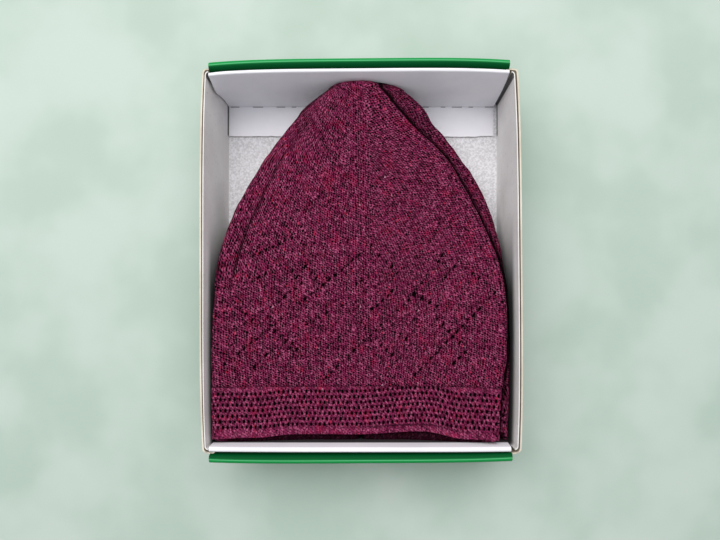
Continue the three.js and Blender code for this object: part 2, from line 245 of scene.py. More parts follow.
# On the rolled ends painted shade darkens the print on the inner half of the roll, and the fold
# along its middle shows as a thin painted highlight.
green_roll = Recipe("green_roll", 0.5, specular=0.05)
over_roll = green_roll.split(green_roll.node("UVMap", uv_map="OFBake").outputs[0])[1]
green_roll.colour(green_roll.mix(green_roll.between(over_roll, 0.42, 0.5), "1c9049", "004a22"))
green_roll.cover(green_roll.between(over_roll, 0.28, 0.22), "0b6a36")
roll_fold_highlight = green_roll.times(green_roll.between(over_roll, 0.41, 0.425),
                             green_roll.between(over_roll, 0.45, 0.435))
green_roll.cover(green_roll.times(roll_fold_highlight, 0.5), "7fc59a")
tan_pulp = board_recipe("tan_pulp", "b3a694", "a39582", 0.35, 0.85)
tan_edge = board_recipe("tan_cut_edge", "dcd4c5", "c9bfae", 0.4, 0.9)


def smoothstep(value, low, high):
    share = np.clip((value - low) / (high - low), 0, 1)
    return share * share * (3 - 2 * share)


def bell(value):
    return np.exp(-value ** 2)


def rim_bulge(place):
    """Share of the rim's bulge at a place from -1 to 1 along it."""
    return 1 - np.minimum(np.abs(place), 1) ** 4


def side_grid(floor, tip_rim, hem_rim, bow, side, lengths, heights, curl, curl_radius, cut=0,
              columns=61):
    """Middle of a side board: bowed out along the side, then curled round at both ends."""
    rows = []
    for up in np.linspace(0, 1, 9):
        reach = lengths[0] + (lengths[1] - lengths[0]) * up
        y = np.linspace(-reach, reach, columns)
        rim = hem_rim + (tip_rim - hem_rim) * (y / reach + 1) / 2 + bow * rim_bulge(y / reach)
        x = floor + (rim - floor) * up
        turn = np.radians(np.linspace(12, curl, 14))
        curl_x = -curl_radius * (1 - np.cos(turn))
        curl_y = reach + curl_radius * np.sin(turn)
        dip = cut * up * smoothstep(np.degrees(turn), 30, 75)
        x = np.concatenate([x[0] + curl_x[::-1], x, x[-1] + curl_x])
        y = np.concatenate([-curl_y[::-1], y, curl_y])
        z = heights[0] + (heights[1] - heights[0]) * up
        z = np.concatenate([z - dip[::-1], np.full(columns, z), z - dip])
        rows.append(np.stack([side * x, y, z], axis=1))
    grid = np.array(rows)
    return grid if side > 0 else grid[:, ::-1]


LID = ("lid_board", "box_lid")     # the slot and the drawn part of every board of the lid
LID_BOARD = 0.6 * MM
LID_TOP = 37.0 * MM
LID_ROLL = 2.1 * MM           # outside radius of the rolled end walls
LID_END_FLOOR = 87.95 * MM    # inside face of an end wall, at the floor
# Each end in millimetres: its inside face at the rim, how far it bows out there, how far it
# is askew, how far it sits off the middle, and its half width at the floor and at the rim.
LID_ENDS = (
    (-1, "hem", 90.3, 0.9, 0.4, -0.1, 69.4, 71.1),
    (1, "tip", 89.8, 1.6, -0.7, -0.8, 69.0, 70.6),
)
# Each side board, in millimetres from the box's middle: its foot, its rim at the tip and
# at the hem, and how far the rim bows out between.
LID_SIDES = ((-1, "left", 72.85, 74.0, 74.0, 1.3), (1, "right", 72.85, 73.4, 74.9, 1.1))


def end_profile(y_floor, y_rim, y_back, z_foot, z_top, roll, thickness):
    """Up the inside face of a rolled end wall, over the top and down to its outer foot."""
    radius = roll - thickness / 2
    centre = y_rim + roll
    inside = [(y_floor + thickness / 2, z_foot)]
    for share in (0.25, 0.5, 0.62, 0.74, 0.83, 0.91, 0.97):
        inside.append((y_floor + thickness / 2 + (y_rim - y_floor) * share ** 4,
                       z_foot + (z_top - roll - z_foot) * share))
    over = [(centre + radius * math.cos(turn), z_top - roll + radius * math.sin(turn))
            for turn in np.linspace(math.pi, 0, 13)]
    outside = [(y_back - thickness / 2 + (y_rim + 2 * roll - y_back) * share ** 4,
                z_foot + (z_top - roll - z_foot) * share) for share in (0.85, 0.6, 0.3, 0.0)]
    return np.array(inside + over + outside)


def across_end(profile, end, z_foot, z_top, bow, skew, offset, half_floor, half_rim, curl=0.0,
               columns=49):
    """The profile of an end wall across its width, bulging at the rim, its left edge curled in."""
    rows = []
    for y, z in profile:
        up = np.clip((z - z_foot) / (z_top - z_foot), 0, 1)
        half = half_floor + (half_rim - half_floor) * up
        place = np.linspace(-1, 1, columns)
        bulge = (bow * rim_bulge(place) - skew * place) * up ** 3
        bulge -= curl * bell((up - 0.68) / 0.2) * smoothstep(-place, 0.86, 1) ** 2
        rows.append(np.stack([offset + place * half, end * (y + bulge), np.full(columns, z)], axis=1))
    grid = np.array(rows)
    return grid if end < 0 else grid[:, ::-1]


for end, name, *sizes in LID_ENDS:
    rim, *shape = np.array(sizes) * MM
    profile = end_profile(LID_END_FLOOR, rim, LID_END_FLOOR + 2 * LID_ROLL, LID_BOARD / 2,
                          LID_TOP, LID_ROLL, LID_BOARD)
    wall = across_end(profile, end, LID_BOARD / 2, LID_TOP, *shape)
    board(f"lid_end_{name}", wall[::-1], LID_BOARD, [tan_pulp, green_roll, tan_edge], *LID)
for side, name, *across in LID_SIDES:
    wall = side_grid(*np.array(across) * MM, side, lengths=(86.6 * MM, 87.6 * MM),
                     heights=(LID_BOARD / 2, LID_TOP - 0.5 * MM), curl=128,
                     curl_radius=3.0 * MM, cut=1.6 * MM)
    board(f"lid_side_{name}", wall, 1.25 * LID_BOARD, [tan_pulp, green_print, tan_edge], *LID)


def floor_grid(half_width, half_length, z, narrowing):
    """Middle of a floor panel, drawn in by a share of its width towards each end."""
    x, y = np.meshgrid(np.linspace(half_width, -half_width, 13),
                       np.linspace(-half_length, half_length, 15))
    x = x * (1 - narrowing * np.clip((np.abs(y) / half_length - 0.9) / 0.1, 0, 1) ** 2)
    return np.stack([x, y, np.full_like(x, z)], axis=-1)


lid_floor = floor_grid(LID_SIDES[0][2] * MM + LID_BOARD / 2, LID_END_FLOOR + 2 * LID_ROLL,
                       LID_BOARD / 2, 0.035)
board("lid_panel", lid_floor, LID_BOARD * 0.98, [tan_pulp, green_print, tan_edge], *LID)

# ---------------------------------------------------------------------------
# The tray: white-faced grey board. Each end wall is two plies rolled over at
# the top; its inner ply ends in a foot flap that lies on the floor, folded on
# a perforated crease and cut a little ragged. The side boards stand between.
# ---------------------------------------------------------------------------
TRAY = ("tray_board", "box_tray")
TRAY_BOARD = 0.5 * MM
TRAY_BASE = 0.9 * MM
TRAY_FLOOR = 1.6 * MM
TRAY_TOP = 37.7 * MM
TRAY_END_FLOOR = 85.3 * MM     # the crease at the foot of the end wall at the tip
# Each end in millimetres: its inside face at the foot and at the rim, the foot of its outer
# ply, its roll's radius, how far it bows out, how far it is askew, how far it sits off the
# middle, its half width at the floor and at the rim, and how far its left edge curls in.
TRAY_ENDS = (
    (-1, "hem", 86.0, 86.9, 87.6, 1.25, 0.3, 0.0, -0.4, 70.4, 70.6, 0.0),
    (1, "tip", 85.3, 86.8, 87.2, 0.9, 1.4, -0.6, -0.9, 70.3, 70.25, 2.2),
)
TRAY_SIDES = ((-1, "left", 71.75, 72.7, 72.8, 1.1), (1, "right", 71.5, 71.8, 73.4, 1.2))
FLAP_LENGTH = 15.5 * MM
FLAP_BOARD = 0.45 * MM
FLAP_SPRING = 0.7 * MM         # how far the cut edge of a flap stands off the floor
FLAP_COLUMNS = 121

white_face = board_recipe("white_face", "f4f3f8", "eeedf3", 0.03, 0.5)
grey_pulp = board_recipe("grey_pulp", "edecf0", "cccacd", 0.3, 0.85, grain=1000.0)
white_edge = board_recipe("white_cut_edge", "e4e2df", "d8d5d1", 0.1, 0.85)

# Beside the cap the boards lie in deep shade, down in the gap that the cloth leaves. So do
# the slits that a side board leaves beside the wall and the flap at the tip.
grey_side = board_recipe("grey_pulp_in_shade", "edebea", "e3e0df", 0.25, 0.85)
_, side_y, side_z = grey_side.split(grey_side.object_place())
beside_cap = grey_side.times(grey_side.between(side_y, 29 * MM, -18 * MM),
                             grey_side.between(side_z, 33.2 * MM, 26.8 * MM))
beside_wall = grey_side.between(side_y, 85.4 * MM, 85.9 * MM)
beside_flap = grey_side.times(grey_side.between(side_y, 69.0 * MM, 70.5 * MM),
                              grey_side.between(side_z, 4.6 * MM, 3.4 * MM))
grey_side.cover(grey_side.times(beside_cap, 0.93), "0c0a0c")
grey_side.cover(grey_side.times(grey_side.math("MAXIMUM", beside_wall, beside_flap), 0.8), "1a181a")

# The crease at the foot of an end wall is cut through in dashes, which show as dark nicks.
_, face_y, face_z = white_face.split(white_face.object_place())
dashes = white_face.noise(white_face.stretch(white_face.object_place(), 170.0, 0.0, 0.0), 1.0, 0.0)
past_flap = white_face.between(white_face.math("ABSOLUTE", face_y),
                               TRAY_END_FLOOR - 0.5 * MM, TRAY_END_FLOOR)
at_crease = white_face.times(past_flap, white_face.between(face_z, 2.75 * MM, 2.55 * MM))
white_face.cover(white_face.times(at_crease, white_face.between(dashes, 0.5, 0.54)), "8f8a92")

# Under the hem the wall lies in deep shade.
under_hem = white_face.times(white_face.between(face_y, -85.2 * MM, -85.8 * MM),
                             white_face.between(face_z, 31.4 * MM, 29.6 * MM))
white_face.cover(white_face.times(under_hem, 0.96), "100508")

generator = np.random.default_rng(7)
for end, name, *sizes in TRAY_ENDS:
    foot, rim, back, roll, *shape = np.array(sizes) * MM
    flap_top = TRAY_FLOOR + FLAP_BOARD
    wall = end_profile(foot, rim, back, flap_top, TRAY_TOP, roll, TRAY_BOARD)
    bend = np.array([(foot - 0.35 * MM, flap_top - FLAP_BOARD * 0.35),
                     (foot - 0.05 * MM, flap_top - FLAP_BOARD * 0.2)])
    reach = np.linspace(1, 0.02, 9)
    flap = np.stack([foot - FLAP_LENGTH * reach,
                     flap_top - FLAP_BOARD / 2 + FLAP_SPRING * reach ** 3], axis=1)
    profile = np.concatenate([flap, bend, wall])
    grid = across_end(profile, end, flap_top, TRAY_TOP, *shape, columns=FLAP_COLUMNS)
    ragged = np.cumsum(generator.normal(0, 0.06 * MM, FLAP_COLUMNS))
    ragged -= np.linspace(ragged[0], ragged[-1], FLAP_COLUMNS)
    grid[0, :, 1] += end * (ragged + generator.normal(0, 0.05 * MM, FLAP_COLUMNS))
    board(f"tray_end_{name}", grid[::-1], TRAY_BOARD * 0.9, [white_edge, white_face, white_edge],
          *TRAY)
for side, name, *across in TRAY_SIDES:
    wall = side_grid(*np.array(across) * MM, side, lengths=(86.0 * MM, 86.7 * MM),
                     heights=(TRAY_BASE + TRAY_BOARD, TRAY_TOP - 0.5 * MM), curl=80,
                     curl_radius=1.6 * MM)
    board(f"tray_side_{name}", wall, TRAY_BOARD, [grey_side, white_face, white_edge], *TRAY)

tray_floor = floor_grid(71.9 * MM, 87.2 * MM, (TRAY_BASE + TRAY_FLOOR) / 2, 0)
tray_panel = board("tray_panel", tray_floor, TRAY_FLOOR - TRAY_BASE,
                   [grey_pulp, white_face, white_edge], *TRAY)

# ---------------------------------------------------------------------------
# The crown: one soft tube of fine stockinette in a flecked burgundy yarn,
# narrowed to a rounded tip, with lines of eyelets. It lies folded in four: the
# front panel on top, a gusset tucked in on each side, the back panel below.
# ---------------------------------------------------------------------------
CLOTH = 1.6 * MM

# From here to the sections, lengths are in millimetres.
FOLD_RADIUS = 1.6
GUSSET_RADIUS = 1.9
BAND_TOP = -60.0
TIP = np.array([1.4, 86.4, 30.0])
FOLDS_FADE = (50.0, 80.0)      # where along the cap the folds run out into a plain oval
LEDGE_SPREAD = 0.45
OVAL_SQUARENESS = 0.8
LEAN = 0.03                    # how far the pile of folds leans to the left, going down
RIM_HEIGHT = 37.2
# How far the hem of each layer lies beyond or short of the first section.
HEM = {"front": 0.9, "left": -0.2, "right": -0.5, "lift": 1.4, "back": -1.7, "base": -1.2,
       "gusset": -1.8, "inner": -2.5, "tuck": 3.9}
# Towards the hem the gussets rise and close on a crease, and lie snug below the front panel.
MOUTH = {"reach": (-84.0, -72.0), "crease": 1.3, "rise": 3.4, "snug": 2.3}
# The soft groove that runs beside the left fold.
GROOVE = {"depth": 1.4, "starts": (-22.0, -2.0), "fades": (15.0, 75.0), "left_over": 0.3}

# The folded cloth, section by section from hem to tip.
COLUMNS = ("y", "back_left", "front_left", "groove", "gusset_left", "gusset_right",
           "front_right", "back_right", "lift", "base", "back", "waist", "front", "top")
SECTIONS = np.array([
    (-84.0, -70.3, -70.2, -54.0, -6.0, 6.0, 64.6, 70.2, 2.4, 3.4, 25.0, 19.5, 31.2, 27.5),
    (-65.0, -70.9, -70.7, -56.0, -6.0, 6.0, 65.6, 71.1, 2.4, 3.4, 25.0, 19.5, 31.4, 27.3),
    (-44.0, -71.0, -70.5, -58.0, -6.0, 6.0, 68.2, 71.5, 2.4, 2.9, 25.0, 19.5, 31.4, 27.2),
    (-28.0, -70.9, -70.2, -61.5, -6.5, 6.5, 68.6, 71.3, 2.2, 2.9, 24.6, 19.2, 30.9, 27.0),
    (-15.0, -70.6, -69.6, -63.6, -7.5, 7.5, 68.2, 70.8, 1.8, 2.9, 23.4, 18.6, 29.6, 27.0),
    (-2.0, -69.8, -68.9, -61.2, -9.0, 9.0, 66.4, 69.8, 1.2, 2.9, 21.3, 17.8, 27.6, 27.0),
    (12.0, -67.6, -66.3, -57.4, -11.0, 11.0, 62.0, 68.4, 0.6, 2.9, 17.0, 16.9, 24.6, 27.0),
    (28.0, -62.2, -60.5, -51.0, -13.0, 13.0, 55.2, 65.0, 0.0, 2.9, 13.8, 16.5, 22.3, 27.0),
    (46.0, -51.9, -50.2, -41.8, -14.0, 14.0, 45.4, 56.0, 0.0, 3.2, 13.7, 16.7, 22.3, 27.3),
    (53.0, -47.4, -45.8, -37.3, -13.2, 12.7, 40.4, 50.6, 0.0, 3.7, 14.5, 17.7, 22.9, 27.8),
    (60.0, -43.4, -41.9, -32.2, -12.0, 11.0, 34.8, 46.8, 0.0, 5.0, 16.0, 19.2, 24.0, 28.6),
    (66.0, -39.9, -38.5, -27.7, -10.5, 9.4, 29.8, 43.4, 0.0, 7.3, 17.9, 21.0, 25.4, 29.7),
    (72.0, -34.6, -33.4, -22.8, -10.0, 9.0, 24.4, 36.4, 0.0, 10.5, 20.3, 23.3, 27.2, 31.0),
    (79.0, -23.2, -22.2, -16.0, -15.0, 14.8, 16.5, 27.0, 0.0, 16.0, 23.6, 26.9, 30.2, 32.3),
    (83.0, -15.6, -14.8, -10.0, -11.0, 9.5, 11.5, 21.0, 0.0, 20.5, 26.0, 28.5, 31.0, 33.1),
])


def smootherstep(value, low, high):
    share = np.clip((value - low) / (high - low), 0, 1)
    return share ** 3 * (share * (share * 6 - 15) + 10)


def section_at(y):
    """The table read at any station, by a smooth curve through its rows."""
    last = len(SECTIONS) - 1
    i = int(np.clip(np.searchsorted(SECTIONS[:, 0], y, side="left") - 1, 0, last - 1))
    before, start, stop, after = (SECTIONS[k] for k in (max(i - 1, 0), i, i + 1, min(i + 2, last)))
    span = stop[0] - start[0]
    t = (y - start[0]) / span
    slope_start = (stop - before) / (stop[0] - before[0]) * span
    slope_stop = (after - start) / (after[0] - start[0]) * span
    row = (start * (2 * t ** 3 - 3 * t ** 2 + 1) + slope_start * (t ** 3 - 2 * t ** 2 + t)
           + stop * (3 * t ** 2 - 2 * t ** 3) + slope_stop * (t ** 3 - t ** 2))
    return dict(zip(COLUMNS, row))


def groove_depth(y):
    """How deep the soft groove beside the left fold is at one station."""
    fading = 1 - (1 - GROOVE["left_over"]) * smoothstep(y, *GROOVE["fades"])
    return GROOVE["depth"] * smoothstep(y, *GROOVE["starts"]) * fading


def half_section(s, side):
    """Half of a section from the back's middle to the front's: X, shift of the hem, Z."""
    name = "right" if side > 0 else "left"
    back, front, gusset = s["back_" + name], s["front_" + name], s["gusset_" + name]
    lift = s["lift"] if side > 0 else 0
    back_height, front_height = s["back"] + lift, s["front"] + lift
    radius = min(FOLD_RADIUS, (front_height - back_height) / 4)
    rise = back_height - s["base"]
    bend = min(8 + 0.5 * rise, 0.6 * abs(back))
    gusset_radius = min(GUSSET_RADIUS, (front_height - back_height) / 2 - radius)
    back_fold, front_fold = back_height + radius, front_height - radius
    mouth = 1 - smoothstep(s["y"], *MOUTH["reach"])
    gusset += (side * MOUTH["crease"] - gusset) * mouth
    waist = s["waist"] + MOUTH["rise"] * mouth
    low, high = waist - gusset_radius, waist + gusset_radius
    tuck, hem_lift = (HEM["tuck"], HEM["lift"]) if side > 0 else (0, 0)
    groove = s["groove"] if side < 0 else 0.84 * front
    depth = groove_depth(s["y"]) if side < 0 else 0

    def height_on_top(x):
        over = front_height + radius
        return s["top"] + (over - s["top"]) * abs(x / (front - side * radius)) ** 3

    def layer(start, stop, z0, z1, hem):
        across = [(t, start + (stop - start) * t) for t in (0.18, 0.42, 0.7)]
        return [(x, HEM[hem], min(z0 + (z1 - z0) * smootherstep(t, -0.1, 0.75),
                                  height_on_top(x) - MOUTH["snug"])) for t, x in across]

    def on_top(x, sunk=0, hem=HEM[name]):
        return (x, hem, height_on_top(x) - sunk)

    return [
        (0.45 * back, HEM["base"], s["base"]),
        (back - side * bend, HEM["base"], s["base"] + 0.02 * rise),
        (back - side * bend * 0.35, HEM["base"], s["base"] + 0.24 * rise),
        (back - side * bend * 0.06, HEM["back"], s["base"] + 0.66 * rise),
        (back, HEM["back"], back_height),
        (back - side * radius, HEM["gusset"] + tuck, back_fold),
        *layer(back - side * radius, gusset, back_fold, low, "gusset"),
        (gusset + side * gusset_radius, HEM["inner"], low),
        (gusset, HEM["inner"], waist),
        (gusset + side * gusset_radius, HEM["inner"], high),
        *layer(front - side * radius, gusset, front_fold, high, "inner")[::-1],
        (front - side * radius, HEM["gusset"], front_fold),
        (front, HEM["gusset"] / 2, front_height),
        on_top(front - side * radius),
        on_top((front + groove) / 2),
        on_top(groove, depth),
        on_top(0.86 * groove),
        on_top(0.5 * front, 0, HEM["front"] + hem_lift),
    ]


def run_along(points, axis=0):
    """Length run from the first point, along one axis of a grid of points."""
    steps = np.linalg.norm(np.diff(points, axis=axis), axis=-1)
    return np.insert(np.cumsum(steps, axis=axis), 0, 0, axis=axis)


def nearest(values, wanted):
    return int(np.argmin(np.abs(values - wanted)))


def half_oval(s, side, folded):
    """The same points round an oval that steps in from the back's width to the front's."""
    name = "right" if side > 0 else "left"
    path = np.array([(0, s["base"]), *[(p[0], p[2]) for p in folded], (0, s["top"])])
    lengths = run_along(path)
    last = len(path) - 1
    middle, half_height = (s["base"] + s["top"]) / 2, (s["top"] - s["base"]) / 2
    ledge = math.asin((s["waist"] - middle) / half_height)
    points = []
    for i in range(len(folded)):
        even, true = (i + 1) / last, lengths[i + 1] / lengths[-1]
        angle = math.pi * (even + (true - even) * 0.75 - 0.5)
        step = smoothstep(angle, ledge - LEDGE_SPREAD, ledge + LEDGE_SPREAD)
        half_width = s["back_" + name] + (s["front_" + name] - s["back_" + name]) * step
        points.append((half_width * math.cos(angle) ** OVAL_SQUARENESS, 0,
                       middle + half_height * math.sin(angle)))
    return points


def cloth_keys(y):
    """The ring of points that the middle of the cloth passes through at one station."""
    shoulder = SECTIONS[-1, 0]
    s = section_at(min(y, shoulder))
    melt = smoothstep(y, *FOLDS_FADE)
    halves = []
    for side in (1, -1):
        folded = half_section(s, side)
        oval = half_oval(s, side, folded)
        halves.append(np.array(folded) * (1 - melt) + np.array(oval) * melt)
    keys = np.concatenate([[(0, HEM["base"], s["base"])], halves[0],
                           [(0, HEM["front"], s["top"])], halves[1][::-1]])
    shift = 1 - smoothstep(y, SECTIONS[0, 0], BAND_TOP)
    shrink = math.sqrt(max(1 - (max(y - shoulder, 0) / (TIP[1] - shoulder)) ** 2, 0))
    heights = TIP[2] + (keys[:, 2] - TIP[2]) * shrink
    return np.stack([TIP[0] + (keys[:, 0] - TIP[0]) * shrink - LEAN * (RIM_HEIGHT - heights),
                     y + keys[:, 1] * shift, heights], axis=1)


def through(keys, places):
    """Points on a smooth closed curve through the keys, at places counted in keys."""
    count = len(keys)
    i = np.floor(places).astype(int) % count
    t = (places - np.floor(places))[:, None]
    p0, p1, p2, p3 = (keys[(i + k) % count] for k in (-1, 0, 1, 2))
    gaps = [np.sqrt(np.linalg.norm(b - a, axis=1))[:, None] for a, b in ((p0, p1), (p1, p2), (p2, p3))]
    g0, g1, g2 = (np.maximum(g, 1e-6) for g in gaps)
    m1 = ((p1 - p0) / g0 - (p2 - p0) / (g0 + g1) + (p2 - p1) / g1) * g1
    m2 = ((p2 - p1) / g1 - (p3 - p1) / (g1 + g2) + (p3 - p2) / g2) * g1
    return (p1 * (2 * t ** 3 - 3 * t ** 2 + 1) + m1 * (t ** 3 - 2 * t ** 2 + t)
            + p2 * (3 * t ** 2 - 2 * t ** 3) + m2 * (t ** 3 - t ** 2))


# How many columns of points each stretch round the cap gets, from the back's middle to
# the front's: few where the cloth is hidden, many on the front panel.
COLUMNS_ROUND = (3, 3, 3, 4, 6, 8, 18, 5, 3, 2, 2, 2, 2, 2, 2, 2, 4, 6, 9, 9, 18, 32, 56)
FRONT_FOLD_KEY = 17
KEYS_ROUND = 2 * len(COLUMNS_ROUND)


def places_round(finer):
    """The columns' places round the cap, and which of them lie on the front panel."""
    counts = [n * (finer if k >= FRONT_FOLD_KEY else 1) for k, n in enumerate(COLUMNS_ROUND)]
    half = np.concatenate([k + np.arange(n) / n for k, n in enumerate(counts)])
    places = np.concatenate([half, [len(counts)], KEYS_ROUND - half[:0:-1]])
    return places, (places >= FRONT_FOLD_KEY) & (places <= KEYS_ROUND - FRONT_FOLD_KEY)


def cloth_middle(stations, round_places):
    """The middle of the cloth as rings, in metres, and the directions out of it."""
    rings = np.array([through(cloth_keys(y), round_places) for y in stations]) * MM
    around = np.roll(rings, -2, axis=1) - np.roll(rings, 2, axis=1)
    return rings, normals_between(np.gradient(rings, axis=0), around)


def arc_round(rings, round_places):
    """Length round each ring from the middle of the front panel, in metres, + to the left."""
    front_middle = nearest(round_places, len(COLUMNS_ROUND))
    run = run_along(rings, axis=1)
    return run - run[:, front_middle:front_middle + 1]


# The yarn's colours. The pit colour is painted shade; the light colour also serves as a painted
# highlight.
YARN = {"deep": "5f1b3c", "main": "932d5a", "light": "be6086", "dark": "21020c", "red": "9f183f",
        "fleck": "a92746", "pale": "b98397", "pit": "040102"}


def knit_recipe(name, pit_size):
    """Stockinette: two slanting legs to a stitch, a pit of painted shade beside each, flecked yarn."""
    knit = Recipe(name, 0.8, specular=0.03)
    stitches = knit.node("UVMap", uv_map="Stitches").outputs[0]
    sway = knit.noise(stitches, 0.45, 2.0)
    round_cap, along_cap, _ = knit.split(stitches)
    wale = knit.math("ADD", round_cap, knit.between(sway, 0.3, 0.7, -0.25, 0.25))
    course = knit.math("ADD", along_cap, knit.between(sway, 0.7, 0.3, -0.25, 0.25))

    def off_middle(count):
        """How far a count is from the middle of its stitch, 0 to a half."""
        return knit.math("ABSOLUTE", knit.math("SUBTRACT", knit.math("FRACT", count), 0.5))

    def cell_noise(across, along):
        cell = knit.node("CombineXYZ", {0: knit.math("FLOOR", across), 1: knit.math("FLOOR", along)})
        chance = knit.node("TexWhiteNoise", {"Vector": cell.outputs[0]}, noise_dimensions="2D")
        hue = knit.node("SeparateColor", {0: chance.outputs["Color"]})
        return chance.outputs["Value"], *hue.outputs

    from_middle = off_middle(wale)
    phase = knit.math("ADD", course, knit.times(from_middle, 0.35))
    phase = knit.math("SUBTRACT", phase, knit.times(wale, 0.5))
    furrow = off_middle(phase)
    size = cell_noise(knit.math("ADD", wale, 0.5), phase)[0]
    beside = knit.times(knit.math("SUBTRACT", 0.5, from_middle), 1 / 0.33)
    along = knit.times(furrow, 1 / 0.38)
    reach = knit.math("SQRT", knit.math("ADD", knit.times(beside, beside), knit.times(along, along)))
    reach = knit.math("DIVIDE", reach, knit.between(size, 0.0, 1.0, 0.7 * pit_size, 1.35 * pit_size))
    # Inside the pits between the legs and inside the eyelets the yarn gives way to painted shade.
    eyelet = knit.node("Attribute", attribute_name="eyelet").outputs["Fac"]
    yarn = knit.times(knit.between(reach, 0.55, 1.15), knit.between(eyelet, 0.3, 0.75, 1.0, 0.0))
    shade = knit.node("Attribute", attribute_name="shade").outputs["Fac"]
    value, first, second, third = cell_noise(knit.times(wale, 2.0), knit.math("ADD", phase, 0.5))
    patch = knit.noise(knit.object_place(), 160.0, 3.0, 0.65)
    strand = knit.noise(knit.stretch(stitches, 0.8, 1.6, 1.0), 1.0, 3.0, 0.7)
    fibre = knit.noise(knit.stretch(stitches, 5.0, 3.0, 1.0), 1.0, 2.0, 0.6)
    knit.colour(knit.mix(knit.between(strand, 0.32, 0.68), YARN["deep"], YARN["main"]))
    # Painted shade darkens the furrows between the courses, the pits, the eyelets and wherever the
    # shade mark is above 0; where the mark is below 0 it lays on a painted highlight.
    layers = (
        (knit.between(first, 0.3, 1.0, 0.0, 0.75), "light"),
        (knit.between(second, 0.5, 1.0, 0.0, 0.7), "dark"),
        (knit.between(furrow, 0.04, 0.32, 0.6, 0.0), "dark"),
        (knit.between(patch, 0.5, 0.72, 0.0, 0.4), "red"),
        (knit.between(value, 0.986, 0.994), "fleck"),
        (knit.between(third, 0.9986, 0.9994), "pale"),
        (knit.between(fibre, 0.35, 0.65, 0.35, 0.0), "dark"),
        (knit.between(shade, 0.0, -1.0, 0.0, 0.6), "light"),
        (knit.math("MAXIMUM", shade, 0.0), "pit"),
        (knit.math("SUBTRACT", 1.0, yarn), "pit"),
    )
    for share, colour in layers:
        knit.cover(share, YARN[colour])
    knit.relief(knit.math("ADD", yarn, knit.times(fibre, 0.3)), 0.3 * MM)
    return knit


def knitted_shell(name, outer, inner, tip, stitches, marks, recipe):
    """One closed skin: the outer rings, the inner rings, and the edges that join them."""
    count = outer.shape[1]
    last = len(outer) - 1
    rings = np.concatenate([outer, inner[::-1]])
    points = rings.reshape(-1, 3)
    index = np.arange(len(points)).reshape(len(rings), count)
    after = np.roll(index, -1, axis=1)
    loops = [(r, r + 1) for r in range(len(rings) - 1)]
    if tip is not None:
        loops.remove((last, last + 1))
    loops.append((len(rings) - 1, 0))
    quads = np.concatenate([np.stack([index[a], after[a], after[b], index[b]], axis=1)
                            for a, b in loops])
    sizes = np.full(len(quads), 4)
    corners = quads.reshape(-1)
    if tip is not None:
        points = np.concatenate([points, tip])
        outer_pole, inner_pole = (np.full(count, len(points) - k) for k in (2, 1))
        fans = np.concatenate([
            np.stack([index[last], after[last], outer_pole], axis=1),
            np.stack([after[last + 1], index[last + 1], inner_pole], axis=1)])
        corners = np.concatenate([corners, fans.reshape(-1)])
        sizes = np.concatenate([sizes, np.full(2 * count, 3)])
    mesh = bpy.data.meshes.new(name)
    mesh.vertices.add(len(points))
    mesh.vertices.foreach_set("co", points.astype(np.float32).reshape(-1))
    mesh.loops.add(len(corners))
    mesh.loops.foreach_set("vertex_index", corners.astype(np.int32))
    mesh.polygons.add(len(sizes))
    starts = np.concatenate([[0], np.cumsum(sizes)[:-1]])
    mesh.polygons.foreach_set("loop_start", starts.astype(np.int32))
    mesh.polygons.foreach_set("use_smooth", np.ones(len(sizes), bool))
    mesh.update(calc_edges=True)

    counted = np.zeros((len(corners), 2), np.float32)
    flat = np.zeros((len(corners), 2), np.float32)
    face_ring, next_ring = (np.repeat([loop[k] for loop in loops], count) for k in (0, 1))
    face_column = np.tile(np.arange(count), len(loops))
    for turn, (ring, shift) in enumerate(((face_ring, 0), (face_ring, 1),
                                          (next_ring, 1), (next_ring, 0))):
        facing = np.where(ring <= last, ring, (len(rings) - 1 - ring) * last // (len(inner) - 1))
        level = np.where(face_ring <= last, face_ring, facing)
        spot = np.arange(len(quads)) * 4 + turn
        counted[spot] = stitches(level, facing, (face_column + shift) % count, face_column)
        flat[spot, 0] = 0.004 + 0.992 * (face_column + shift) / count
        place = np.where(face_ring < last, ring / last * 0.88,
                         0.9 + 0.096 * (ring - last) / (len(inner) + 1))
        closing = (face_ring == len(rings) - 1) & (ring == 0)
        flat[spot, 1] = 0.002 + np.where(closing, 0.998, place)
    if tip is not None:
        start = len(quads) * 4
        counted[start:] = (counted[start - 4:start - 2].mean(axis=0)
                           + np.random.default_rng(3).uniform(0, 3, (len(corners) - start, 2)))
        flat[start:] = (0.5, 0.999)
    for layer_name, places in (("Stitches", counted), ("OFBake", flat)):
        mesh.uv_layers.new(name=layer_name).data.foreach_set("uv", places.reshape(-1))
    for mark_name, mark in marks.items():
        everywhere = np.zeros(len(points), np.float32)
        for face, start in zip(mark, (0, len(outer) * count)):
            everywhere[start:start + face.size] = face.reshape(-1)
        mesh.attributes.new(mark_name, "FLOAT", "POINT").data.foreach_set("value", everywhere)
    mesh.uv_layers["OFBake"].active_render = True
    mesh.materials.append(recipe.material)
    piece = add_object(name, mesh)
    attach(piece, "root")
    return piece


WALE = 1.2 * MM
COURSE = 1.13 * MM
EYELET_HALF = (0.6 * MM, 1.05 * MM)      # half width and half height of an eyelet, which slants
EYELET_DEPTH = 1.25 * MM

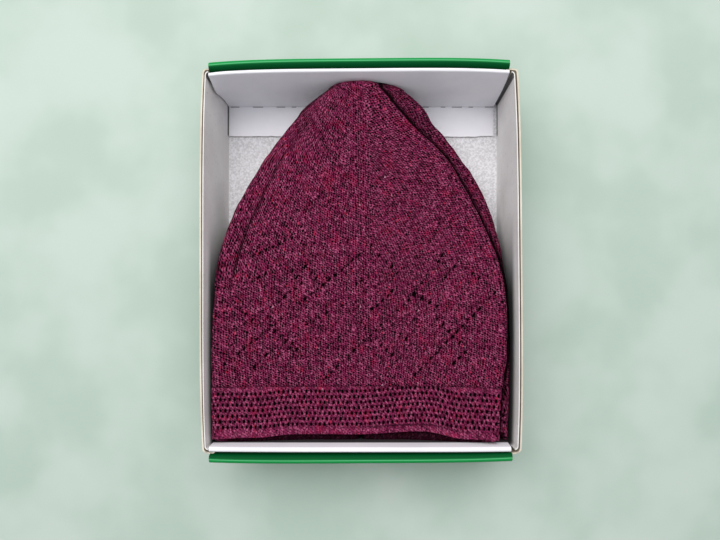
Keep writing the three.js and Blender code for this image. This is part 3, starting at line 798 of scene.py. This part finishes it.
# Lines of eyelets on the front panel, in millimetres: the first one's place across and
# along, how many there are, and the steps across and along from one to the next.
EYELET_LINES = (
    (-64.8, -48.6, 25, 2.9, 2.38), (-17.4, -55.4, 17, 2.7, 2.5), (26.2, -54.4, 16, 2.5, 2.65),
    (-49.8, -7.5, 4, 3.4, 2.1), (-52.3, 3.2, 7, 3.05, 1.45), (-40.1, -19.1, 5, 2.65, 2.2),
    (-26.1, -30.2, 4, 2.9, 1.95), (-51.3, -50.1, 4, 2.7, 2.6), (27.0, -13.0, 6, 2.5, 3.3),
    (-16.4, -41.4, 4, 2.7, 2.4), (5.4, -23.0, 5, 2.4, 2.3), (-2.4, -10.9, 4, 2.4, 2.4),
    (8.8, 3.7, 4, 2.9, -2.9), (-33.9, -4.6, 3, 2.2, -2.6), (-12.5, -18.1, 4, 2.9, -2.8),
    (-0.4, -29.3, 8, 2.5, -2.6), (25.2, -15.2, 4, 3.9, -2.0), (40.7, -7.0, 3, 2.2, 2.6),
    (44.6, -48.6, 3, 2.4, 2.4), (-33.9, -39.0, 4, 2.6, -3.2), (-27.0, -2.1, 4, 2.6, -2.9),
    (50.4, -3.0, 4, 3.2, -2.4), (19.0, -34.0, 4, 2.6, -2.8), (37.0, -27.0, 5, 2.6, -3.0),
    (-58.0, -22.0, 4, 2.6, -3.0), (-44.0, -30.0, 5, 2.5, -2.8),
)
eyelet_random = np.random.default_rng(5)
eyelet_spots = np.array([(x + k * dx, y + k * dy)
                         for x, y, count, dx, dy in EYELET_LINES for k in range(count)])
eyelet_spots = (eyelet_spots + eyelet_random.normal(0, 0.22, eyelet_spots.shape)) * MM

lace_low, lace_high = BAND_TOP + 0.02, 13.0
crown_stations = np.concatenate([
    np.linspace(lace_low, lace_high, 150, endpoint=False),
    np.linspace(lace_high, SECTIONS[-1, 0], 66, endpoint=False),
    SECTIONS[-1, 0] + (TIP[1] - SECTIONS[-1, 0]) * np.sin(np.radians(np.linspace(0, 84, 10))),
])
crown_places, on_front = places_round(1)
crown_rings, crown_normals = cloth_middle(crown_stations, crown_places)
crown_arc = arc_round(crown_rings, crown_places)
front_middle = nearest(crown_places, len(COLUMNS_ROUND))
front_columns = np.flatnonzero(on_front)
right_fold, left_fold = front_columns[0], front_columns[-1]
half_front = (crown_arc[:, left_fold] - crown_arc[:, right_fold]) / 2
along_middle = run_along(crown_rings[:, front_middle])

# Stitches are dropped in rounds as the crown narrows, so that they keep their size.
decrease = 0.9
stitch_level = decrease ** np.round(np.log(half_front / half_front[0]) / math.log(decrease))
half_stitches = half_front[0] * stitch_level / WALE

# A seam runs up the front panel through this place, in millimetres across and along.
SEAM = (6, 36)
seam_row = nearest(crown_stations, SEAM[1])
seam_column = front_columns[nearest(crown_rings[seam_row, on_front, 0], SEAM[0] * MM)]

# Where the crown narrows, the courses curve towards the tip at the flanks.
flank = np.clip(crown_arc / half_front[:, None], -1.3, 1.3)
narrowing = np.maximum(-np.gradient(half_front, crown_stations * MM), 0)
middle_course = (along_middle[:, None]
                 - 0.5 * flank ** 2 * (half_front * np.minimum(narrowing, 1.1))[:, None]) / COURSE


def from_fold(nose, side):
    """Stitches counted from a fold: rounds across it and courses along it."""
    line = crown_rings[:, nose]
    run = run_along(line)
    lean = np.clip(-side * np.gradient(line[:, 0], run), -0.95, 0.95)
    lean = np.convolve(np.pad(lean, 8, mode="edge"), np.full(17, 1 / 17), mode="valid")[:, None]
    reach = np.abs(crown_arc - crown_arc[:, nose:nose + 1])
    return np.stack([reach * np.sqrt(1 - lean ** 2) / WALE,
                     (run[:, None] + reach * lean) / COURSE], axis=-1)


# To the right of the seam the stitches follow the right fold; the back panel and the lower
# ply of each gusset follow the back's folds.
back_noses = [nearest(crown_places, k) for k in (5, KEYS_ROUND - 5)]
followed = ((crown_places < 11.9, from_fold(back_noses[0], 1)),
            (crown_places > KEYS_ROUND - 12.1, from_fold(back_noses[1], -1)),
            (on_front & (np.arange(len(crown_places)) < seam_column), from_fold(right_fold, 1)))


def crown_stitches(level, ring, column, face_column):
    """Stitches round the crown and courses along it, at the corners of the faces."""
    share = np.clip(crown_arc[ring, column] / half_front[ring], -1, 1)
    beyond = crown_arc[ring, column] - share * half_front[ring]
    found = np.stack([share * half_stitches[level] + beyond / WALE,
                      middle_course[ring, column]], axis=-1)
    for where, counted in followed:
        found = np.where(where[face_column][:, None], counted[ring, column], found)
    return found


eyelet = np.zeros(crown_rings.shape[:2])
front_points = crown_rings[:, on_front, :2]
eyelet_rim = np.zeros(front_points.shape[:2])
for spot in eyelet_spots:
    size = eyelet_random.uniform(0.6, 1.15)
    away = front_points - spot
    away[..., 0] -= 0.45 * away[..., 1]
    distance = np.linalg.norm(away / (np.array(EYELET_HALF) * size), axis=2)
    pit = np.minimum(1.5 * bell(distance), 1)
    eyelet[:, on_front] = np.maximum(eyelet[:, on_front], pit)
    eyelet_rim = np.maximum(eyelet_rim, bell((distance - 1.7) / 0.5))


def soft_waves(points, seed, size, waves=14):
    """Slow rolling relief, from -1 to 1, as a sum of waves in all directions."""
    random = np.random.default_rng(seed)
    total = np.zeros(points.shape[:-1])
    for _ in range(waves):
        direction = random.normal(size=3)
        direction /= np.linalg.norm(direction)
        total += np.sin(points @ direction * (2 * math.pi / (size * random.uniform(0.6, 1.6)))
                        + random.uniform(0, 2 * math.pi))
    return total / math.sqrt(waves)


def creases(stations, rings, on_front):
    """Painted shade beside the front panel's folds, over the layers below them and in the groove.
    Below 0 it is a painted highlight, on the right fold and on the ridge beside the groove."""
    noses = np.flatnonzero(on_front)[[0, -1]]
    depth = np.zeros(rings.shape[:2])
    for nose, side, strength in ((noses[0], 1, 0.97), (noses[1], -1, 0.6)):
        beyond = side * (rings[..., 0] - rings[:, nose:nose + 1, 0]) / MM
        step = np.maximum(rings[:, nose:nose + 1, 2] - rings[..., 2], 0) / MM
        slant = np.abs(np.gradient(rings[:, nose, 0], rings[:, nose, 1]))[:, None]
        reach = (beyond - (0.2 + 0.2 * slant) * step) / np.sqrt(1 + slant ** 2)
        line = strength * np.minimum(1.5 * bell(np.maximum(reach, 0) / 2.0), 1)
        under = ~on_front & (side * rings[..., 0] > 0)
        depth = np.maximum(depth, np.maximum(line, 0.2) * under)
    groove = np.array([section_at(min(y, SECTIONS[-1, 0]))["groove"] for y in stations])[:, None]
    sunk = np.array([groove_depth(y) for y in stations])[:, None] / GROOVE["depth"]
    from_groove = rings[..., 0] / MM - groove
    valley = 0.75 * sunk * bell(from_groove / 1.2) * on_front
    ridge = 0.6 * sunk * bell((from_groove - 2.4) / 1.1) * on_front
    # A thin painted highlight along the right fold's nose.
    fold_highlight = smoothstep(stations, -5, 15)[:, None] * on_front
    fold_highlight = fold_highlight * np.exp(-((rings[..., 0] - rings[:, noses[0]:noses[0] + 1, 0]) / MM + 1.7) ** 2 / 0.8)
    return np.maximum(depth, valley) - np.maximum(fold_highlight, ridge)


def seam_line(stations):
    """The dip, and the painted shade, at the round where the crown meets the band."""
    return bell((stations - BAND_TOP) / 0.75)[:, None]


def inside_rings(rings, normals, count):
    """A few rings along the inside of the cloth, from its first ring to its last."""
    kept = np.linspace(0, len(rings) - 1, count).round().astype(int)
    return (rings - normals * CLOTH / 2)[kept]


crown_dip = seam_line(crown_stations)
# The crown's painted shade: beside the folds, in the groove and along the seam round; below 0, painted
# highlights.
crown_shade = np.maximum(creases(crown_stations, crown_rings, on_front), 0.3 * crown_dip)
crown_lift = (CLOTH / 2 + 0.16 * MM * soft_waves(crown_rings, 11, 16 * MM)
              + 0.07 * MM * soft_waves(crown_rings, 12, 4 * MM) - EYELET_DEPTH * eyelet
              - 0.25 * MM * crown_dip)
crown_lift[:, on_front] += 0.16 * MM * eyelet_rim
crown_outer = crown_rings + crown_normals * crown_lift[..., None]
crown_inner = inside_rings(crown_rings, crown_normals, 18)
tip_poles = np.array([TIP * MM + (0, CLOTH / 2, 0), TIP * MM - (0, CLOTH / 2, 0)])
crown_knit = knit_recipe("crown_knit", 1.0)
crown = knitted_shell("crown", crown_outer, crown_inner, tip_poles, crown_stitches,
                      {"eyelet": [eyelet], "shade": [crown_shade]}, crown_knit)
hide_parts("cap_crown")

# ---------------------------------------------------------------------------
# The band: the same tube and yarn, worked as openwork in staggered rows of
# small upright holes, and bound off at the hem in a chain of stitches.
# ---------------------------------------------------------------------------
HOLE_PITCH = 2.2 * MM
HOLE_RISE = 2.65 * MM
HOLE_ROWS = 7
FIRST_ROW = 5.0 * MM                      # from the hem to the first row of holes
HOLE_HALF = (0.56 * MM, 0.84 * MM)        # half width and half height of a hole
HOLE_DEPTH = 1.2 * MM
HEM_STRIP = 3.3 * MM
BAND_INSIDE_RINGS = 12

band_stations = np.linspace(SECTIONS[0, 0], BAND_TOP + 0.02, 96)
band_places, band_front = places_round(2)
band_rings, band_normals = cloth_middle(band_stations, band_places)
band_arc = arc_round(band_rings, band_places)
from_hem = run_along(band_rings)
wander = 0.3 * MM * np.sin(band_arc / (21 * MM) + 0.6)
row_place = (from_hem - FIRST_ROW + wander) / HOLE_RISE
row = np.clip(np.round(row_place), 0, HOLE_ROWS - 1)
along_row = band_arc / HOLE_PITCH + 0.5 * (row % 2)
hole_count = np.round(along_row)
hole_size = 1 + 0.16 * np.sin(2.4 * hole_count + 1.7 * row) + 0.1 * np.sin(0.9 * hole_count + 4 * row)
across = (along_row - hole_count) * HOLE_PITCH + 0.14 * MM * np.sin(1.3 * hole_count + 2.1 * row)
up = (row_place - row) * HOLE_RISE
hole = np.exp(-(across / (HOLE_HALF[0] * hole_size)) ** 2 - (up / (HOLE_HALF[1] * hole_size)) ** 2)
hole = np.minimum(1.45 * hole, 1)
band_dip = seam_line(band_stations)

# The bound-off hem stands up as a little roll, with a crease behind it that is deepest
# on the right of the middle.
crease_place = bell((band_rings[..., 0] - 22 * MM) / (38 * MM)) * band_front
hem_crease = bell((from_hem - HEM_STRIP) / (0.6 * MM)) * crease_place
hem_roll = np.sin(np.clip(from_hem / HEM_STRIP, 0, 1) * math.pi)

# Between the plies the inside of the band gets painted shade.
in_mouth = (band_places > 6) & (band_places < 16)
in_mouth |= (band_places > KEYS_ROUND - 16) & (band_places < KEYS_ROUND - 6)
mouth_shade = 0.88 * np.broadcast_to(in_mouth, (BAND_INSIDE_RINGS, len(in_mouth)))
# The band's painted shade: beside the folds, along the seam round and in the crease behind the hem.
band_shade = np.maximum(creases(band_stations, band_rings, band_front), 0.3 * band_dip)
band_shade = np.maximum(band_shade, 0.7 * hem_crease)
band_lift = (CLOTH / 2 + 0.12 * MM * soft_waves(band_rings, 21, 9 * MM) - HOLE_DEPTH * hole
             - 0.25 * MM * band_dip - 0.5 * MM * hem_crease + 0.3 * MM * hem_roll)
band_outer = band_rings + band_normals * band_lift[..., None]
band_inner = inside_rings(band_rings, band_normals, BAND_INSIDE_RINGS)


def band_stitches(level, ring, column, face_column):
    """Stitches round the band and courses up it, two of each to a hole."""
    return np.stack([band_arc[ring, column] * 2 / HOLE_PITCH,
                     from_hem[ring, column] * 2 / HOLE_RISE], axis=-1)


band_knit = knit_recipe("band_knit", 0.4)
band = knitted_shell("band", band_outer, band_inner, None, band_stitches,
                     {"eyelet": [hole], "shade": [band_shade, mouth_shade]}, band_knit)
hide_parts("cap_band")
